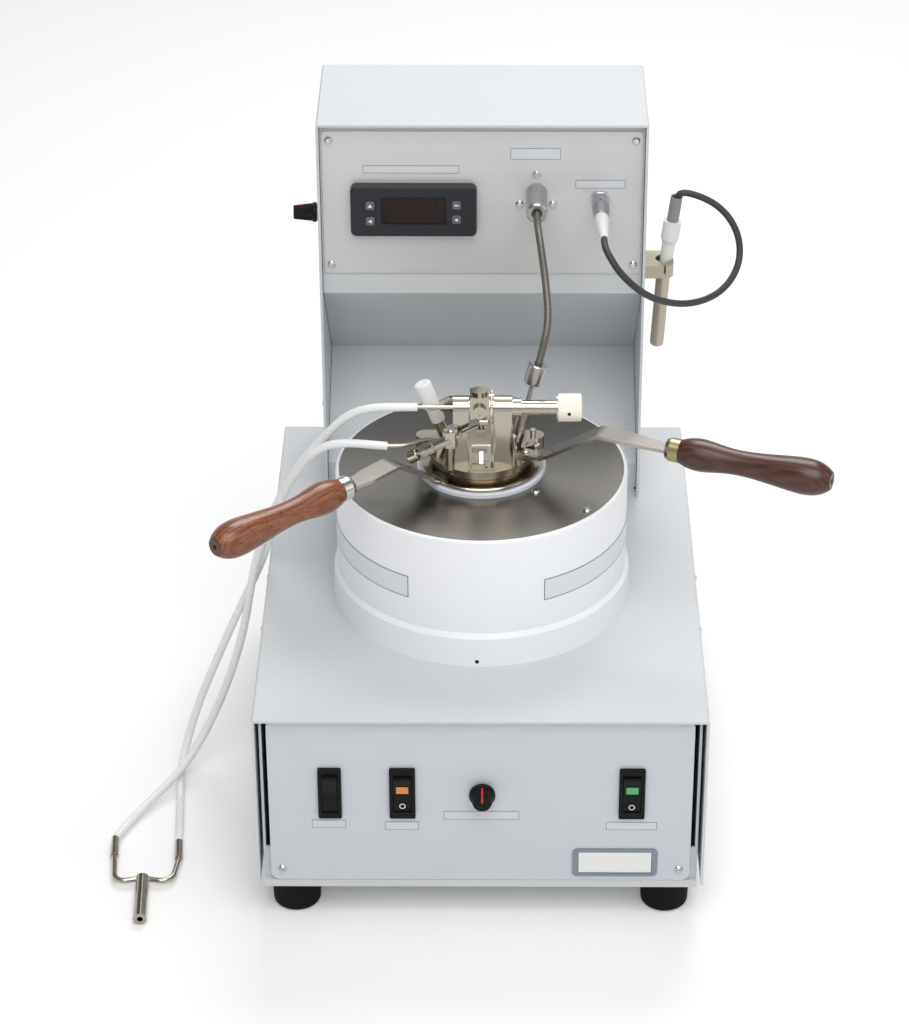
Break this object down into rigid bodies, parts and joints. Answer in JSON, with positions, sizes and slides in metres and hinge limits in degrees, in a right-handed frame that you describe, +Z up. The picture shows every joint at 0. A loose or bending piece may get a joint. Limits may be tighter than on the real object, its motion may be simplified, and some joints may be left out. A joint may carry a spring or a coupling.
{
  "type": "flash point tester",
  "caption": "Bench tester that heats a lidded sample cup in a bath, stirs it and tilts a small gas flame into it to find the flash point of a liquid.",
  "frame": {"origin": "on the bench, midway between the four feet", "axes": "+X to the operator's right, +Y away from the operator towards the rear column, +Z up"},
  "size_m": [0.4145, 0.3377, 0.389],
  "materials": {
    "grey_coat": "light grey powder coat",
    "pale_panel": "satin pale grey",
    "satin_aluminium": "satin",
    "bath_white": "semi-gloss white",
    "stainless": "brushed",
    "bright_screw": "polished",
    "nickel": "polished nickel plate",
    "holder_nickel": "matt nickel plate",
    "block_aluminium": "machined",
    "heater_band": "dull",
    "black_plastic": "satin black",
    "dark_plastic": "charcoal",
    "red_plastic": "red",
    "key_grey": "grey",
    "foot_rubber": "black",
    "board_green": "board",
    "motor_metal": "grey",
    "hose_clear": "translucent white",
    "shaft_sheath": "grey-brown",
    "cable_grey": "dark grey",
    "white_plastic": "white",
    "wood_red": "varnished reddish brown",
    "wood_dark": "varnished dark brown"
  },
  "bodies": {
    "cabinet": {"base_cover": "grey_coat", "base_tray": "grey_coat", "front_panel": "pale_panel", "nameplate": "satin_aluminium", "base_feet": "foot_rubber", "case_screws": "bright_screw", "mains_inlet": "black_plastic", "stirrer_switch_body": "black_plastic", "cold_switch_body": "black_plastic", "main_switch_body": "black_plastic", "side_switch_body": "black_plastic", "potentiometers": "motor_metal", "control_board": "board_green", "bath_jacket": "bath_white", "bath_vessel": "block_aluminium", "bath_heater": "heater_band", "bath_top_plate": "stainless", "insulating_ring": "white_plastic", "column_cover": "grey_coat", "column_front": "grey_coat", "instrument_panel": "satin_aluminium", "controller_case": "dark_plastic", "stirrer_motor": "motor_metal", "sensor_socket": "bright_screw", "sensor_plug": "white_plastic", "probe_holder": "holder_nickel", "gas_hoses": "hose_clear", "hose_tee": "nickel", "flexible_shaft": "shaft_sheath", "sensor_cable": "cable_grey"},
    "cup": {"test_cup": "nickel", "cup_handle_arm": "nickel", "cup_handle_grip": "wood_red"},
    "lid": {"lid_plate": "nickel", "lid_posts": "nickel", "side_blocks": "nickel", "lid_screws": "bright_screw", "lid_handle_arm": "nickel", "lid_handle_grip": "wood_dark", "lid_sockets": "nickel", "pilot_burner": "nickel", "gas_tubes": "nickel"},
    "tilt": {"tilt_shaft": "nickel", "jet_carrier": "nickel"},
    "shutter": {"shutter": "nickel"},
    "stopper": {"thermometer_stopper": "white_plastic"},
    "stirrer": {"stirrer_shaft": "stainless"},
    "valve": {"valve_knob": "nickel"},
    "drive": {"drive_coupling": "stainless"},
    "heating_knob": {"heating_knob": "black_plastic"},
    "speed_knob": {"speed_knob": "black_plastic"},
    "stirrer_rocker": {"stirrer_rocker": "black_plastic"},
    "cold_rocker": {"cold_rocker": "black_plastic"},
    "main_rocker": {"main_rocker": "black_plastic"},
    "side_rocker": {"side_rocker": "red_plastic"},
    "key_up": {"key_up": "key_grey"},
    "key_left": {"key_left": "key_grey"},
    "key_menu": {"key_menu": "key_grey"},
    "key_set": {"key_set": "key_grey"},
    "probe": {"sensor_probe": "white_plastic"}
  },
  "joints": [
    {"name": "cup_lift", "type": "slide", "parent": "cabinet", "child": "cup", "axis": [0, 0, 1], "range_m": [0, 0.07], "deforming": ["flexible_shaft", "gas_hoses"]},
    {"name": "lid_lift", "type": "slide", "parent": "cup", "child": "lid", "axis": [0, 0, 1], "range_m": [0, 0.05], "deforming": ["flexible_shaft", "gas_hoses"]},
    {"name": "burner_tilt", "type": "hinge", "parent": "lid", "child": "tilt", "pos_m": [0, -0.04, 0.2681], "axis": [1, 0, 0], "range_deg": [0, 25], "stiffness_Nm_per_rad": 0.05, "springref_deg": -20.05},
    {"name": "shutter_slide", "type": "slide", "parent": "lid", "child": "shutter", "axis": [0, 1, 0], "range_m": [0, 0.0114]},
    {"name": "stopper_pull", "type": "slide", "parent": "lid", "child": "stopper", "axis": [-0.3584, 0, 0.9336], "range_m": [0, 0.02]},
    {"name": "motor_spin", "type": "hinge", "parent": "cabinet", "child": "drive", "pos_m": [0.03175, 0.06, 0.3434], "axis": [0, -1, 0], "continuous": true},
    {"name": "stirrer_spin", "type": "hinge", "parent": "lid", "child": "stirrer", "pos_m": [0.019, -0.023, 0.2332], "axis": [0.2419, 0, 0.9703], "continuous": true},
    {"name": "valve_turn", "type": "hinge", "parent": "lid", "child": "valve", "pos_m": [-0.01745, -0.0503, 0.2535], "axis": [0.8813, 0, 0.4726], "range_deg": [0, 270]},
    {"name": "heating_turn", "type": "hinge", "parent": "cabinet", "child": "heating_knob", "pos_m": [0.001, -0.17, 0.0879], "axis": [0, -1, 0], "range_deg": [-140, 140]},
    {"name": "speed_turn", "type": "hinge", "parent": "cabinet", "child": "speed_knob", "pos_m": [-0.105, 0.092, 0.3263], "axis": [-1, 0, 0], "range_deg": [-140, 140]},
    {"name": "stirrer_switch_rock", "type": "hinge", "parent": "cabinet", "child": "stirrer_rocker", "pos_m": [-0.0847, -0.16, 0.0879], "axis": [-1, 0, 0], "range_deg": [0, 20]},
    {"name": "cold_switch_rock", "type": "hinge", "parent": "cabinet", "child": "cold_rocker", "pos_m": [-0.0439, -0.16, 0.0879], "axis": [-1, 0, 0], "range_deg": [0, 20]},
    {"name": "main_switch_rock", "type": "hinge", "parent": "cabinet", "child": "main_rocker", "pos_m": [0.0852, -0.16, 0.0879], "axis": [-1, 0, 0], "range_deg": [0, 20]},
    {"name": "side_switch_rock", "type": "hinge", "parent": "cabinet", "child": "side_rocker", "pos_m": [-0.0955, 0.142, 0.175], "axis": [0, -1, 0], "range_deg": [0, 20]},
    {"name": "key_up_press", "type": "slide", "parent": "cabinet", "child": "key_up", "axis": [0, 1, 0], "range_m": [0, 0.0005], "stiffness_N_per_m": 400, "springref_m": -0.0015},
    {"name": "key_left_press", "type": "slide", "parent": "cabinet", "child": "key_left", "axis": [0, 1, 0], "range_m": [0, 0.0005], "stiffness_N_per_m": 400, "springref_m": -0.0015},
    {"name": "key_menu_press", "type": "slide", "parent": "cabinet", "child": "key_menu", "axis": [0, 1, 0], "range_m": [0, 0.0005], "stiffness_N_per_m": 400, "springref_m": -0.0015},
    {"name": "key_set_press", "type": "slide", "parent": "cabinet", "child": "key_set", "axis": [0, 1, 0], "range_m": [0, 0.0005], "stiffness_N_per_m": 400, "springref_m": -0.0015},
    {"name": "probe_lift", "type": "slide", "parent": "cabinet", "child": "probe", "axis": [0.1219, 0, 0.9925], "range_m": [0, 0.04], "deforming": ["sensor_cable"]}
  ],
  "couplings": [
    {"joint": "shutter_slide", "follows": "burner_tilt", "m_per_rad": 0.0259},
    {"joint": "stirrer_spin", "follows": "motor_spin", "ratio": -1}
  ]
}
